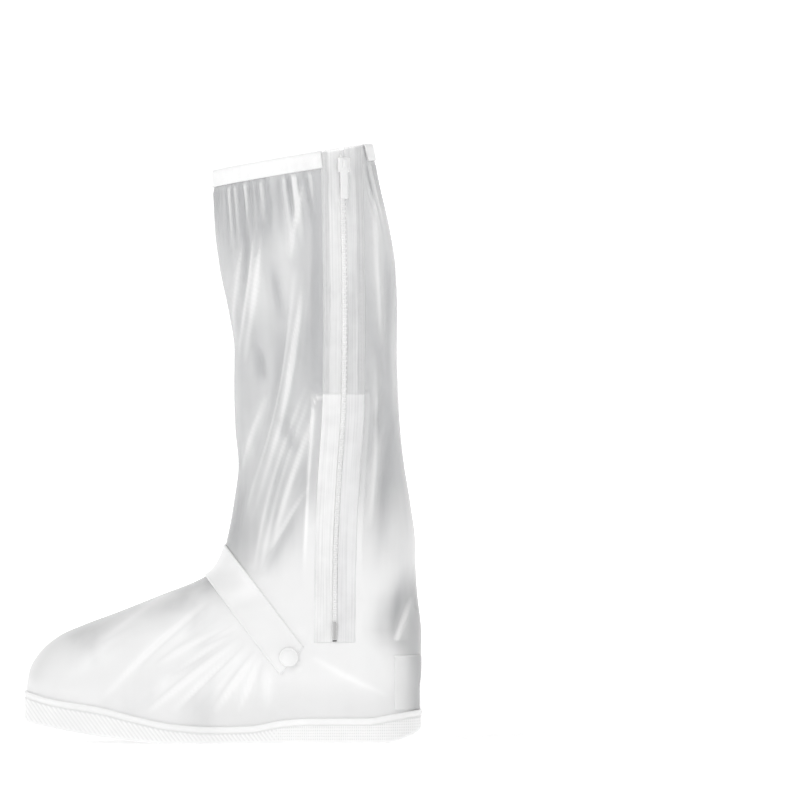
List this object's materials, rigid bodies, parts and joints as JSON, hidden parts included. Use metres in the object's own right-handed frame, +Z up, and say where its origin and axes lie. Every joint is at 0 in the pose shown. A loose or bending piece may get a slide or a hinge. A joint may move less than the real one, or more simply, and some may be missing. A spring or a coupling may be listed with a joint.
{
  "type": "waterproof shoe cover",
  "caption": "Knee-high waterproof overshoe of clear vinyl film on a moulded sole, with a side zip, an instep strap with snaps and an elastic top band.",
  "frame": {"origin": "on the ground under the middle of the sole's length, in the cover's middle plane", "axes": "+X towards the heel, -X towards the toe, -Y towards the side with the zip, +Z up along the leg"},
  "size_m": [0.3001, 0.1174, 0.451],
  "materials": {
    "sole": "satin moulded",
    "film": "clear milky gloss",
    "strap": "satin",
    "elastic": "woven elastic",
    "tape": "woven",
    "teeth": "moulded",
    "stop": "moulded",
    "snap": "satin"
  },
  "bodies": {
    "root": {"sole": "sole", "film_foot": "film", "film_leg": "film", "heel_patch": "film", "zip_gusset": "film", "zip_tape_front": "tape", "zip_tape_back": "tape", "zip_chain": "teeth", "zip_stop": "stop", "zip_slider": "teeth", "top_band": "elastic", "strap": "strap", "snap_cap_outer": "snap", "snap_base_outer": "snap", "snap_cap_inner": "snap", "snap_base_inner": "snap"}
  },
  "joints": []
}
